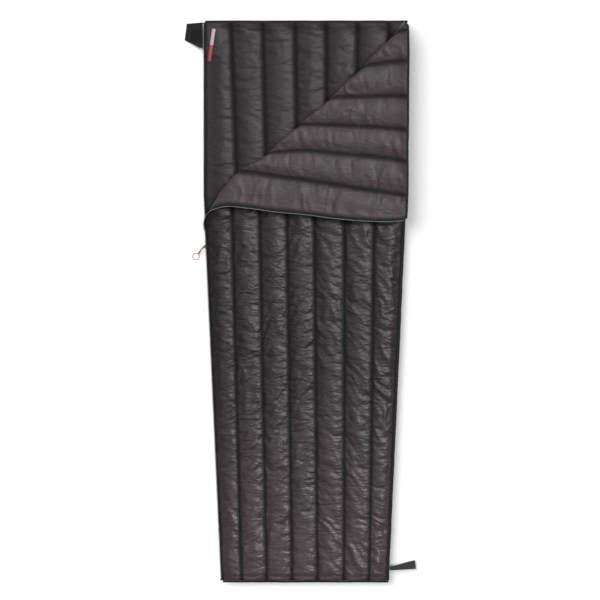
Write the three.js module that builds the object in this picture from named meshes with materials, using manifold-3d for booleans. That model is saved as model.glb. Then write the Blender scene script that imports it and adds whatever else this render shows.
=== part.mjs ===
// A camp quilt: a tapered, fully zipped down sleeping bag that lies flat on the floor.
// Two quilted layers lie one on the other. They are joined along the right side and the foot, and by a
// zip along the left side. The zip is open from the shoulder up, and the head-left corner of the top
// layer is folded back to the right. Millimetres, +Z up, +Y towards the head, the floor at Z = 0.
import * as THREE from 'three';
import { mergeVertices } from 'three/addons/utils/BufferGeometryUtils.js';
import Module from 'manifold-3d';

const wasm = await Module();
wasm.setup();

// ---------------------------------------------------------------- driving dimensions

const LENGTH = 2050; // foot to head
const HEAD_WIDTH = 742; // of the straight upper body, over its zip and binding
const FOOT_WIDTH = 612;
const SHOULDER_FROM_HEAD = 635; // the straight taper to the foot starts here
const LAYER_LOFT = 30; // height of one filled layer
const SEAM_DEPTH = 15; // how far a sewn channel seam sinks below the face that meets the other layer
const EDGE_CROWN = 20; // how far an edge channel stands out from its seams
const FABRIC = 0.8; // shell and lining cloth
const SEAM_GAP = 0.3; // between the shell and the lining along a seam
const DOWN_CLEARANCE = 0.4; // between the down and the cloth around it
const LAYER_GAP = 1.3; // between the two layers, where the label lies
const CLEARANCE = 0.3; // between pieces that are sewn or rest together

// Relative widths of the seven channels, left to right. The last one runs off the side at the head.
const HEAD_SHARES = [5, 6, 6, 6, 6, 6, 2.5];
const SHOULDER_SHARES = [1, 1, 1, 1, 1.1, 1.1, 1.1];
const FOOT_SHARES = [0.75, 1, 1, 1, 1.05, 1, 0.7];
// A channel's cross-section: [place across the channel, share of the full bulge].
const CHANNEL_PROFILE = [[0, 0], [0.07, 0.35], [0.3, 1], [0.7, 1], [0.93, 0.35]];
const END_HALF_FULL = 25; // from the end of the cloth to where a layer has half its loft
const END_FULL = 70; // and to where it has all of it

const BINDING_WIDTH = 7; // bound edges at the head, the right side and the foot
const BINDING_STANDS = 0.3; // how far a binding stands above and below the cloth it closes
const TAPE_WIDTH = 4; // zip tape that shows outside the cloth
const TAPE_THICKNESS = 1.1;
const COIL_WIDTH = 2.7; // across the zip coil
const COIL_HALF_HEIGHT = 2; // of the closed chain
const COIL_GAP = 0.3; // between the two coils where the zip is open and the edges meet
const STOP_LENGTH = 6;

const FOLD_GAP = 2; // each side of the fold line is cut back by this
const FLAP_REST_GAP = 0.3; // half of the space between the folded flap and the layer under it

const SLIDER_FROM_FOLD = 83; // along the body, from the left end of the fold to the slider
const SLIDER_LENGTH = 14;
const SLIDER_WALL = 1.3;
const SLIDER_CLEARANCE = 0.9; // around the zip chain
const SLIDER_FLANGE = 3; // how far a flange reaches in over the tape
const LUG_LENGTH = 5.2;
const LUG_WIDTH = 5;
const LUG_HEIGHT = 1.5;
const PIN_RADIUS = 0.9;
const PIN_FROM_WALL = 3.4;
const PULLER_BORE_CLEARANCE = 0.3;
const PULLER_BARREL_WALL = 1.2;
const PULLER_LENGTH = 11.8; // from its pin to the end that holds the cord
const PULLER_WIDTH = 6;
const PULLER_THICKNESS = 3;
const PULLER_ANGLE = 229; // degrees from +X, seen from above
const CORD_DIAMETER = 2.4;
const CORD_SIDES = 8;
const CORD_STEPS = 72;
const SLEEVE_PLACE = [30.5, 2.71]; // along the puller, and above the floor
const SLEEVE_LENGTH = 3;
const SLEEVE_WALL = 0.7;
const CORD_STRAND_SPACING = 3;

// The pull cord's route from the puller: [along, across, above the floor].
const CORD_ROUTE = [
  [12.1, -1.5, 30.6], [14.5, -1.5, 30.4], [18, -1.5, 27.4], [20.8, -1.5, 21.2], [22.4, -1.5, 14.2],
  [24.2, -1.5, 7.6], [26.4, -1.5, 3.5], [28.9, -1.5, 2.74], [31.3, -1.5, 2.72], [33.3, -1.7, 2.66],
  [35.4, -4.6, 1.9], [38.2, -9, 1.5], [43, -11.7, 1.5], [49, -11.6, 1.5], [54.6, -8.4, 1.5],
  [57.7, -3, 1.5], [57.7, 3, 1.5], [54.6, 8.4, 1.5], [49, 11.6, 1.5], [43, 11.7, 1.5],
  [38.2, 9, 1.5], [35.4, 4.6, 1.9], [33.3, 1.7, 2.66], [31.3, 1.5, 2.72], [28.9, 1.5, 2.74],
  [26.4, 1.5, 3.5], [24.2, 1.5, 7.6], [22.4, 1.5, 14.2], [20.8, 1.5, 21.2], [18, 1.5, 27.4],
  [14.5, 1.5, 30.4], [12.1, 1.5, 30.6],
];

const TAB_LENGTH = 74; // closure tab at the head-left corner
const TAB_ROOT_WIDTH = 92;
const TAB_SHOULDER = 10; // straight length before its lower edge slants in
const TAB_TIP_WIDTH = 60;
const TAB_TIP_SLANT = 9;
const TAB_THICKNESS = 2;
const TAB_FROM_HEAD = 54; // from the head edge to the middle of the tab
const TAB_FLOOR_GAP = 0.2;
const HOOK_LENGTH = 40;
const HOOK_WIDTH = 42;
const HOOK_THICKNESS = 1;
const HOOK_FROM_ROOT = 8;
const LOOP_PATCH_THICKNESS = 0.8;

const LABEL_LENGTH = 120;
const LABEL_WIDTH = 13;
const LABEL_THICKNESS = 0.5;
const LABEL_FROM_SIDE = 24; // from the cloth's left edge to the middle of the label
const LABEL_FROM_HEAD = 90;
const LABEL_TILT = -8.5; // degrees

const HANG_LOOP_LENGTH = 97;
const HANG_LOOP_WIDTH = 30; // at its far end
const HANG_LOOP_ROOT_WIDTH = 13;
const HANG_LOOP_HEIGHT = 16; // of its open end
const WEBBING = 1.3;
const HANG_LOOP_FROM_FOOT = 50;
const HANG_LOOP_TURN = 7; // degrees towards the head
const HANG_LOOP_ARC_STEPS = 8;

// ---------------------------------------------------------------- places that follow from them

const HEAD_Y = LENGTH / 2;
const FOOT_Y = -LENGTH / 2;
const SHOULDER_Y = HEAD_Y - SHOULDER_FROM_HEAD;
const TRIM = CLEARANCE + TAPE_WIDTH + CLEARANCE + COIL_WIDTH; // from the cloth to the outer edge
const CLOTH_HEAD_Y = HEAD_Y - BINDING_WIDTH - CLEARANCE;
const CLOTH_FOOT_Y = FOOT_Y + BINDING_WIDTH + CLEARANCE;
const SEAM_THICKNESS = 2 * FABRIC + SEAM_GAP;
const CHANNELS = HEAD_SHARES.length;

const UNDER_FACE_Z = LAYER_LOFT; // the under layer's lining faces up here
const TOP_FACE_Z = UNDER_FACE_Z + LAYER_GAP; // the top layer's lining faces down here
const TOP_Z = TOP_FACE_Z + LAYER_LOFT;
const ZIP_Z = (UNDER_FACE_Z + TOP_FACE_Z) / 2;
const FOLD_Z = TOP_Z + FLAP_REST_GAP;
const FOLD_CORNER = new THREE.Vector3(HEAD_WIDTH / 2, HEAD_Y, FOLD_Z);
const FOLD_DIRECTION = new THREE.Vector3(1, 1, 0).normalize();
const SLIDER_Y = HEAD_Y - HEAD_WIDTH - SLIDER_FROM_FOLD;
const TAPER = Math.atan2((HEAD_WIDTH - FOOT_WIDTH) / 2, SHOULDER_Y - FOOT_Y);

const COLOURS = {
  shell: 0x464144,
  lining: 0x4a4548,
  down: 0xe8e4da,
  trim: 0x1d1f1f,
  coil: 0x9a989a,
  cord: 0xd76e3c,
  metal: 0x55565a,
  hook: 0x101011,
  label: 0xe0c8d6,
};

const { lerp, degToRad } = THREE.MathUtils;

function finish(colour, roughness = 0.8, metalness = 0) {
  return new THREE.MeshStandardMaterial({ color: colour, roughness, metalness });
}

const materials = {
  shell: finish(COLOURS.shell, 0.45),
  lining: finish(COLOURS.lining, 0.6),
  down: finish(COLOURS.down, 0.95),
  trim: finish(COLOURS.trim, 0.8),
  coil: finish(COLOURS.coil, 0.4),
  cord: finish(COLOURS.cord, 0.7),
  metal: finish(COLOURS.metal, 0.35, 0.9),
  hook: finish(COLOURS.hook, 0.95),
  label: finish(COLOURS.label, 0.7),
};

function part(name, geometry, material) {
  const mesh = new THREE.Mesh(geometry, material);
  mesh.name = name;
  return mesh;
}

// ---------------------------------------------------------------- cutting and joining

function toManifold(geometry) {
  const bare = geometry.clone();
  bare.deleteAttribute('normal');
  bare.deleteAttribute('uv');
  const merged = mergeVertices(bare, 1e-4);
  return new wasm.Manifold(new wasm.Mesh({
    numProp: 3,
    vertProperties: new Float32Array(merged.attributes.position.array),
    triVerts: new Uint32Array(merged.index.array),
  }));
}

function fromManifold(solid) {
  const mesh = solid.getMesh();
  const geometry = new THREE.BufferGeometry();
  geometry.setAttribute('position', new THREE.BufferAttribute(mesh.vertProperties, 3));
  geometry.setIndex(new THREE.BufferAttribute(mesh.triVerts, 1));
  geometry.computeVertexNormals();
  return geometry;
}

function join(...geometries) {
  const [first, ...others] = geometries.map(toManifold);
  return fromManifold(others.reduce((whole, piece) => whole.add(piece), first));
}

// A block that covers everything on one side of the fold line: side 1 is the flap's, -1 the body's.
function foldBlock(side) {
  const size = 3 * LENGTH;
  const block = new THREE.BoxGeometry(size, size, size);
  block.translate(0, side * (size / 2 + FOLD_GAP), 0);
  block.rotateZ(Math.atan2(FOLD_DIRECTION.y, FOLD_DIRECTION.x));
  block.translate(FOLD_CORNER.x, FOLD_CORNER.y, 0);
  return block;
}

function onBody(geometry) {
  return fromManifold(toManifold(geometry).intersect(toManifold(foldBlock(-1))));
}

function onFlap(geometry) {
  return fromManifold(toManifold(geometry).intersect(toManifold(foldBlock(1))));
}

// ---------------------------------------------------------------- outline and channels

// Half the width of the cloth at y.
function clothHalfWidth(y) {
  const along = Math.min(1, (y - FOOT_Y) / (SHOULDER_Y - FOOT_Y));
  return lerp(FOOT_WIDTH, HEAD_WIDTH, along) / 2 - TRIM;
}

function mixedShares(from, to, amount) {
  const shareOf = (shares, i) => shares[i] / shares.reduce((sum, share) => sum + share, 0);
  return from.map((_, i) => lerp(shareOf(from, i), shareOf(to, i), amount));
}

function underShares(y) {
  return mixedShares(FOOT_SHARES, HEAD_SHARES, (y - FOOT_Y) / LENGTH);
}

function topShares(y) {
  if (y > SHOULDER_Y) {
    return mixedShares(SHOULDER_SHARES, HEAD_SHARES, (y - SHOULDER_Y) / (HEAD_Y - SHOULDER_Y));
  }
  return mixedShares(FOOT_SHARES, SHOULDER_SHARES, (y - FOOT_Y) / (SHOULDER_Y - FOOT_Y));
}

// The x of every channel seam at y, from the left edge of the cloth to the right edge.
function seamPlaces(shares, y) {
  const half = clothHalfWidth(y);
  const places = [-half];
  for (const share of shares(y)) {
    places.push(places.at(-1) + share * 2 * half);
  }
  return places;
}

// Rows across the body: [y, share of the full loft].
const ROWS = [
  [CLOTH_FOOT_Y, 0],
  [CLOTH_FOOT_Y + END_HALF_FULL, 0.5],
  [CLOTH_FOOT_Y + END_FULL, 1],
  [SHOULDER_Y, 1],
  [CLOTH_HEAD_Y - END_FULL, 1],
  [CLOTH_HEAD_Y - END_HALF_FULL, 0.5],
  [CLOTH_HEAD_Y, 0],
];

// One node of a layer: its plan point, and how far the lining's and the shell's outer faces are from
// the plane between the layers. The seams sink away from that plane, and the edges lie on it.
function layerNode(shares, [y, fullness], channel, [across, bulge]) {
  const seams = seamPlaces(shares, y);
  const leftSeam = channel === 0 ? 0 : SEAM_DEPTH;
  const rightSeam = channel >= CHANNELS - 1 ? 0 : SEAM_DEPTH;
  const atEdge = channel === 0 || channel === CHANNELS - 1;
  const base = lerp(leftSeam, rightSeam, across);
  const crown = atEdge ? EDGE_CROWN : LAYER_LOFT - SEAM_DEPTH - SEAM_THICKNESS;
  const inner = Math.max(0, base - SEAM_DEPTH * bulge);
  const outer = Math.min(LAYER_LOFT, base + SEAM_THICKNESS + crown * bulge);
  return {
    plan: [lerp(seams[channel], seams[channel + 1] ?? seams[channel], across), y],
    inner: fullness * inner,
    outer: SEAM_THICKNESS + fullness * (outer - SEAM_THICKNESS),
  };
}

// A closed solid between two height fields over one grid of plan points.
function gridSolid(nodes, lowOf, highOf) {
  const rows = nodes.length;
  const columns = nodes[0].length;
  const positions = [];
  for (const heightOf of [lowOf, highOf]) {
    for (const node of nodes.flat()) {
      positions.push(...node.plan, heightOf(node));
    }
  }
  const low = (row, column) => row * columns + column;
  const high = (row, column) => rows * columns + low(row, column);
  const index = [];
  for (let row = 0; row < rows - 1; row += 1) {
    for (let column = 0; column < columns - 1; column += 1) {
      const corners = [[row, column], [row, column + 1], [row + 1, column + 1], [row + 1, column]];
      const [a, b, c, d] = corners.map((corner) => high(...corner));
      index.push(a, b, c, a, c, d);
      const [e, f, g, h] = corners.map((corner) => low(...corner));
      index.push(e, g, f, e, h, g);
    }
  }
  const rim = [];
  for (let column = 0; column < columns - 1; column += 1) rim.push([0, column]);
  for (let row = 0; row < rows - 1; row += 1) rim.push([row, columns - 1]);
  for (let column = columns - 1; column > 0; column -= 1) rim.push([rows - 1, column]);
  for (let row = rows - 1; row > 0; row -= 1) rim.push([row, 0]);
  rim.forEach((corner, i) => {
    const next = rim[(i + 1) % rim.length];
    index.push(low(...corner), low(...next), high(...next));
    index.push(low(...corner), high(...next), high(...corner));
  });
  const geometry = new THREE.BufferGeometry();
  geometry.setAttribute('position', new THREE.Float32BufferAttribute(positions, 3));
  geometry.setIndex(index);
  geometry.computeVertexNormals();
  return geometry;
}

// The slab of a layer between two depths, given as functions of a node. The under layer hangs down
// from its face, and the top layer stands up from it.
function layerSlab(nodes, side, near, far) {
  if (side === 'under') {
    return gridSolid(nodes, (node) => UNDER_FACE_Z - far(node), (node) => UNDER_FACE_Z - near(node));
  }
  return gridSolid(nodes, (node) => TOP_FACE_Z + near(node), (node) => TOP_FACE_Z + far(node));
}

function wholeLayerNodes(shares) {
  return ROWS.map((row) => {
    const line = [];
    for (let channel = 0; channel < CHANNELS; channel += 1) {
      line.push(...CHANNEL_PROFILE.map((place) => layerNode(shares, row, channel, place)));
    }
    line.push(layerNode(shares, row, CHANNELS - 1, [1, 0]));
    return line;
  });
}

function liningSheet(shares, side) {
  return layerSlab(wholeLayerNodes(shares), side, (node) => node.inner, (node) => node.inner + FABRIC);
}

function shellSheet(shares, side) {
  return layerSlab(wholeLayerNodes(shares), side, (node) => node.outer - FABRIC, (node) => node.outer);
}

// The down in one channel fills the space between the lining and the shell, short of its seams.
function downFilling(shares, side, channel) {
  const nodes = ROWS.slice(1, -1).map((row) =>
    CHANNEL_PROFILE.slice(1).map((place) => layerNode(shares, row, channel, place)));
  const inset = FABRIC + DOWN_CLEARANCE;
  return layerSlab(nodes, side, (node) => node.inner + inset, (node) => node.outer - inset);
}

// The loop patch lies on the shell of the first channel, between two of its rows near the head.
function loopPatch() {
  const nodes = ROWS.slice(4, 6).map((row) =>
    CHANNEL_PROFILE.slice(1, 3).map((place) => layerNode(topShares, row, 0, place)));
  const near = (node) => node.outer + CLEARANCE;
  return layerSlab(nodes, 'top', near, (node) => near(node) + LOOP_PATCH_THICKNESS);
}

// ---------------------------------------------------------------- edge pieces

// A strip that follows one side of the cloth: side -1 is the left, 1 the right.
function sideStrip(side, fromCloth, width, fromY, toY, lowZ, highZ) {
  const levels = [fromY, ...(SHOULDER_Y > fromY && SHOULDER_Y < toY ? [SHOULDER_Y] : []), toY];
  const line = (offset) => levels.map((y) => new THREE.Vector2(side * (clothHalfWidth(y) + offset), y));
  const outline = new THREE.Shape([...line(fromCloth), ...line(fromCloth + width).reverse()]);
  const strip = new THREE.ExtrudeGeometry(outline, { depth: highZ - lowZ, bevelEnabled: false });
  return strip.translate(0, 0, lowZ);
}

function block(fromX, toX, fromY, toY, lowZ, highZ) {
  const box = new THREE.BoxGeometry(toX - fromX, toY - fromY, highZ - lowZ);
  return box.translate((fromX + toX) / 2, (fromY + toY) / 2, (lowZ + highZ) / 2);
}

const edgeLow = UNDER_FACE_Z - SEAM_THICKNESS;
const edgeHigh = TOP_FACE_Z + SEAM_THICKNESS;

function headBinding(lowZ, highZ) {
  const half = clothHalfWidth(HEAD_Y);
  return block(-half, half + TRIM, CLOTH_HEAD_Y + CLEARANCE, HEAD_Y, lowZ, highZ);
}

function sideBinding() {
  return sideStrip(1, CLEARANCE, BINDING_WIDTH, CLOTH_FOOT_Y, CLOTH_HEAD_Y,
    edgeLow - BINDING_STANDS, edgeHigh + BINDING_STANDS);
}

function footBinding() {
  const half = clothHalfWidth(FOOT_Y) + TRIM;
  return block(-half, half, FOOT_Y, CLOTH_FOOT_Y - CLEARANCE,
    edgeLow - BINDING_STANDS, edgeHigh + BINDING_STANDS);
}

// ---------------------------------------------------------------- zip

const TAPE_TO_COIL = CLEARANCE + TAPE_WIDTH + CLEARANCE; // from the cloth to the coil
const ZIP_FOOT_Y = CLOTH_FOOT_Y + STOP_LENGTH + CLEARANCE; // the bottom stop is below this
const ZIP_HEAD_Y = CLOTH_HEAD_Y - STOP_LENGTH - CLEARANCE; // the top stops are above this
const ZIP_STOP_Y = ZIP_HEAD_Y + CLEARANCE;

function zipTape(layer) {
  const half = SEAM_THICKNESS / 2;
  const seamMiddle = layer === 'under' ? UNDER_FACE_Z - half : TOP_FACE_Z + half;
  return sideStrip(-1, CLEARANCE, TAPE_WIDTH, CLOTH_FOOT_Y, CLOTH_HEAD_Y,
    seamMiddle - TAPE_THICKNESS / 2, seamMiddle + TAPE_THICKNESS / 2);
}

// A stretch of coil, or a stop at its end.
function zipStrip(fromY, toY, lowZ, highZ) {
  return sideStrip(-1, TAPE_TO_COIL, COIL_WIDTH, fromY, toY, lowZ, highZ);
}

const coilLow = ZIP_Z - COIL_HALF_HEIGHT;
const coilHigh = ZIP_Z + COIL_HALF_HEIGHT;
const lowerCoilHigh = ZIP_Z - COIL_GAP / 2;
const upperCoilLow = ZIP_Z + COIL_GAP / 2;
const sliderHalf = SLIDER_LENGTH / 2;

// The slider is a channel open towards the cloth, with two lugs and a pin on its outer wall. Its own
// frame has the cloth's edge at x = 0, the outside at -x, and the middle of the chain at z = 0.
const sliderWallX = -(TRIM + SLIDER_CLEARANCE);
const sliderInnerHalf = COIL_HALF_HEIGHT + SLIDER_CLEARANCE;
const pinX = sliderWallX - SLIDER_WALL - PIN_FROM_WALL;

function zipSlider() {
  const outerHalf = sliderInnerHalf + SLIDER_WALL;
  const flangeEnd = -(CLEARANCE + TAPE_WIDTH) + SLIDER_FLANGE;
  const wall = block(sliderWallX - SLIDER_WALL, sliderWallX, -sliderHalf, sliderHalf, -outerHalf, outerHalf);
  const flange = (lowZ, highZ) =>
    block(sliderWallX - SLIDER_WALL, flangeEnd, -sliderHalf, sliderHalf, lowZ, highZ);
  const lugEnd = sliderWallX - SLIDER_WALL - LUG_LENGTH;
  const lug = (lowZ, highZ) =>
    block(lugEnd, sliderWallX - SLIDER_WALL / 2, -LUG_WIDTH / 2, LUG_WIDTH / 2, lowZ, highZ);
  const pin = new THREE.CylinderGeometry(PIN_RADIUS, PIN_RADIUS, 2 * outerHalf, 12);
  pin.rotateX(Math.PI / 2);
  pin.translate(pinX, 0, 0);
  return join(wall, flange(-outerHalf, -sliderInnerHalf), flange(sliderInnerHalf, outerHalf),
    lug(-outerHalf, LUG_HEIGHT - outerHalf), lug(outerHalf - LUG_HEIGHT, outerHalf), pin);
}

// The puller's own frame has its pin at the origin and the plate along +x.
function zipPuller() {
  const bore = PIN_RADIUS + PULLER_BORE_CLEARANCE;
  const radius = bore + PULLER_BARREL_WALL;
  const half = PULLER_THICKNESS / 2;
  const profile = [[bore, -half], [radius, -half], [radius, half], [bore, half], [bore, -half]];
  const barrel = new THREE.LatheGeometry(profile.map(([r, h]) => new THREE.Vector2(r, h)), 16);
  barrel.rotateX(Math.PI / 2);
  const plate = block(bore + PULLER_BARREL_WALL / 2, PULLER_LENGTH,
    -PULLER_WIDTH / 2, PULLER_WIDTH / 2, -half, half);
  return join(barrel, plate);
}

function pullerCord() {
  const route = new THREE.CatmullRomCurve3(CORD_ROUTE.map((point) => new THREE.Vector3(...point)));
  const section = new THREE.Shape();
  for (let side = 0; side < CORD_SIDES; side += 1) {
    const turn = (side / CORD_SIDES) * 2 * Math.PI;
    const point = [Math.cos(turn) * CORD_DIAMETER / 2, Math.sin(turn) * CORD_DIAMETER / 2];
    if (side === 0) {
      section.moveTo(...point);
    } else {
      section.lineTo(...point);
    }
  }
  return new THREE.ExtrudeGeometry(section, { steps: CORD_STEPS, extrudePath: route });
}

// The sleeve holds the cord's two strands side by side where they open into the ring.
function cordSleeve() {
  const inner = CORD_DIAMETER / 2 + CLEARANCE;
  const outer = inner + SLEEVE_WALL;
  const half = SLEEVE_LENGTH / 2;
  const profile = [[inner, -half], [outer, -half], [outer, half], [inner, half], [inner, -half]];
  const sleeve = new THREE.LatheGeometry(profile.map(([r, h]) => new THREE.Vector2(r, h)), 20);
  sleeve.rotateZ(Math.PI / 2);
  sleeve.scale(1, (CORD_STRAND_SPACING / 2 + inner) / inner, 1);
  return sleeve.translate(SLEEVE_PLACE[0], 0, SLEEVE_PLACE[1]);
}

// ---------------------------------------------------------------- tab, label and hanging loop

// The tab's own frame has its fold line along y at the origin, on the tab's upper face.
function closureTab() {
  const half = TAB_ROOT_WIDTH / 2;
  const outline = new THREE.Shape([
    new THREE.Vector2(0, half),
    new THREE.Vector2(-TAB_LENGTH + TAB_TIP_SLANT, half),
    new THREE.Vector2(-TAB_LENGTH, half - TAB_TIP_WIDTH),
    new THREE.Vector2(-TAB_SHOULDER, -half),
    new THREE.Vector2(0, -half),
  ]);
  const tab = new THREE.ExtrudeGeometry(outline, { depth: TAB_THICKNESS, bevelEnabled: false });
  return tab.translate(0, 0, -TAB_THICKNESS);
}

function hookPatch() {
  const topY = TAB_ROOT_WIDTH / 2 - (TAB_ROOT_WIDTH - TAB_TIP_WIDTH) * 0.7;
  return block(-HOOK_FROM_ROOT - HOOK_LENGTH, -HOOK_FROM_ROOT, topY - HOOK_WIDTH, topY,
    CLEARANCE, CLEARANCE + HOOK_THICKNESS);
}

// A strap doubled into a loop. Side on it is a drop: both plies leave the root together and part to
// the rounded far end. It narrows towards the root. Its own frame has the root at the origin and +x
// out along the loop.
function hangLoop(rootZ) {
  const radius = HANG_LOOP_HEIGHT / 2;
  const centre = new THREE.Vector2(HANG_LOOP_LENGTH - radius, radius - rootZ);
  const drop = (inset) => {
    const root = centre.clone().multiplyScalar(inset / radius);
    const reach = centre.clone().sub(root);
    const swing = Math.acos((radius - inset) / reach.length());
    const back = Math.atan2(-reach.y, -reach.x);
    const points = [root];
    for (let step = 0; step <= HANG_LOOP_ARC_STEPS; step += 1) {
      const turn = back + swing + (step / HANG_LOOP_ARC_STEPS) * (2 * Math.PI - 2 * swing);
      const spoke = new THREE.Vector2(Math.cos(turn), Math.sin(turn));
      points.push(centre.clone().addScaledVector(spoke, radius - inset));
    }
    return points;
  };
  const outline = new THREE.Shape(drop(0));
  outline.holes.push(new THREE.Path(drop(WEBBING)));
  const loop = new THREE.ExtrudeGeometry(outline, { depth: 2, bevelEnabled: false });
  loop.translate(0, 0, -1);
  loop.rotateX(Math.PI / 2);
  const places = loop.attributes.position;
  for (let i = 0; i < places.count; i += 1) {
    const along = places.getX(i) / HANG_LOOP_LENGTH;
    places.setY(i, places.getY(i) * lerp(HANG_LOOP_ROOT_WIDTH, HANG_LOOP_WIDTH, along) / 2);
  }
  return loop;
}

function sideLabel() {
  const label = new THREE.BoxGeometry(LABEL_WIDTH, LABEL_LENGTH, LABEL_THICKNESS);
  label.rotateZ(degToRad(LABEL_TILT));
  return label.translate(
    -clothHalfWidth(HEAD_Y) + LABEL_FROM_SIDE,
    HEAD_Y - LABEL_FROM_HEAD,
    UNDER_FACE_Z + CLEARANCE + LABEL_THICKNESS / 2,
  );
}

// ---------------------------------------------------------------- assembly

function underLayer() {
  const layer = new THREE.Group();
  layer.add(part('under_shell', shellSheet(underShares, 'under'), materials.shell));
  layer.add(part('under_lining', liningSheet(underShares, 'under'), materials.lining));
  for (let channel = 0; channel < CHANNELS; channel += 1) {
    const filling = downFilling(underShares, 'under', channel);
    layer.add(part(`under_down_${channel + 1}`, filling, materials.down));
  }
  const binding = headBinding(edgeLow - BINDING_STANDS, UNDER_FACE_Z + BINDING_STANDS);
  layer.add(part('head_binding_under', binding, materials.trim));
  layer.add(part('side_label', sideLabel(), materials.label));
  return layer;
}

function topLayer() {
  const layer = new THREE.Group();
  layer.add(part('top_shell', onBody(shellSheet(topShares, 'top')), materials.shell));
  layer.add(part('top_lining', onBody(liningSheet(topShares, 'top')), materials.lining));
  for (let channel = 0; channel < CHANNELS; channel += 1) {
    const filling = downFilling(topShares, 'top', channel);
    layer.add(part(`top_down_${channel + 1}`, onBody(filling), materials.down));
  }
  layer.add(part('side_binding', sideBinding(), materials.trim));
  layer.add(part('foot_binding', footBinding(), materials.trim));
  return layer;
}

// The corner of the top layer above the fold line. It is made closed, and the group turns it half a
// turn about the fold line. The last channel barely reaches it, and has no down of its own here.
function foldedFlap() {
  const closed = new THREE.Group();
  closed.add(part('flap_shell', onFlap(shellSheet(topShares, 'top')), materials.shell));
  closed.add(part('flap_lining', onFlap(liningSheet(topShares, 'top')), materials.lining));
  for (let channel = 0; channel < CHANNELS - 1; channel += 1) {
    const filling = downFilling(topShares, 'top', channel);
    closed.add(part(`flap_down_${channel + 1}`, onFlap(filling), materials.down));
  }
  const binding = headBinding(TOP_FACE_Z - BINDING_STANDS, edgeHigh + BINDING_STANDS);
  closed.add(part('flap_head_binding', onFlap(binding), materials.trim));
  closed.add(part('zip_tape_flap', onFlap(zipTape('top')), materials.trim));
  closed.add(part('zip_coil_flap', onFlap(zipStrip(SLIDER_Y, ZIP_HEAD_Y, upperCoilLow, coilHigh)),
    materials.coil));
  closed.add(part('zip_stop_flap', zipStrip(ZIP_STOP_Y, CLOTH_HEAD_Y, upperCoilLow, coilHigh),
    materials.metal));
  closed.add(part('closure_loop_patch', loopPatch(), materials.hook));
  closed.position.copy(FOLD_CORNER).negate();
  const turned = new THREE.Group();
  turned.add(closed);
  turned.quaternion.setFromAxisAngle(FOLD_DIRECTION, Math.PI);
  turned.position.copy(FOLD_CORNER);
  return turned;
}

function zip() {
  const rows = new THREE.Group();
  const openY = SLIDER_Y + sliderHalf;
  rows.add(part('zip_tape_under', zipTape('under'), materials.trim));
  rows.add(part('zip_tape_top', onBody(zipTape('top')), materials.trim));
  rows.add(part('zip_chain_closed', zipStrip(ZIP_FOOT_Y, SLIDER_Y, coilLow, coilHigh), materials.coil));
  rows.add(part('zip_coil_under', zipStrip(SLIDER_Y + CLEARANCE, ZIP_HEAD_Y, coilLow, lowerCoilHigh),
    materials.coil));
  rows.add(part('zip_coil_top', onBody(zipStrip(openY, ZIP_HEAD_Y, upperCoilLow, coilHigh)),
    materials.coil));
  rows.add(part('zip_stop_foot', zipStrip(CLOTH_FOOT_Y, ZIP_FOOT_Y - CLEARANCE, coilLow, coilHigh),
    materials.metal));
  rows.add(part('zip_stop_under', zipStrip(ZIP_STOP_Y, CLOTH_HEAD_Y, coilLow, lowerCoilHigh),
    materials.metal));
  return rows;
}

function sliderAndPuller() {
  const slider = new THREE.Group();
  slider.position.set(-clothHalfWidth(SLIDER_Y), SLIDER_Y, ZIP_Z);
  slider.rotation.z = TAPER;
  slider.add(part('zip_slider', zipSlider(), materials.metal));
  const puller = new THREE.Group();
  puller.position.set(pinX, 0, 0);
  puller.rotation.z = degToRad(PULLER_ANGLE) - TAPER;
  puller.add(part('zip_puller', zipPuller(), materials.metal));
  const cord = new THREE.Group();
  cord.position.z = -ZIP_Z;
  cord.add(part('puller_cord', pullerCord(), materials.cord));
  cord.add(part('cord_sleeve', cordSleeve(), materials.cord));
  puller.add(cord);
  slider.add(puller);
  return slider;
}

function tab() {
  const group = new THREE.Group();
  const hingeZ = coilHigh + CLEARANCE;
  group.position.set(-HEAD_WIDTH / 2 - 1, HEAD_Y - TAB_FROM_HEAD, hingeZ);
  group.rotation.y = -Math.asin((hingeZ - TAB_THICKNESS - TAB_FLOOR_GAP) / TAB_LENGTH);
  group.add(part('closure_tab', closureTab(), materials.trim));
  group.add(part('closure_hook_patch', hookPatch(), materials.hook));
  return group;
}

function footLoop() {
  const group = new THREE.Group();
  const rootY = FOOT_Y + HANG_LOOP_FROM_FOOT;
  const rootX = clothHalfWidth(rootY) + TRIM + 2;
  group.position.set(rootX, rootY, ZIP_Z);
  group.rotation.z = degToRad(HANG_LOOP_TURN);
  group.add(part('foot_hang_loop', hangLoop(ZIP_Z), materials.trim));
  return group;
}

const quilt = new THREE.Group();
quilt.add(underLayer(), topLayer(), foldedFlap(), zip(), sliderAndPuller(), tab(), footLoop());

export default quilt;
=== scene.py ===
"""The looks of a camp quilt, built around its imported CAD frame.

A tapered down quilt lies flat on the floor. Two quilted layers lie one on the other, and the head-left
corner of the top layer is folded back to the right. Metres, +Z up, +Y towards the head, the floor at 0.
"""
import logging
import math
from dataclasses import dataclass, field
from enum import Enum
from typing import Callable, Optional, Sequence, Union

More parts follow.
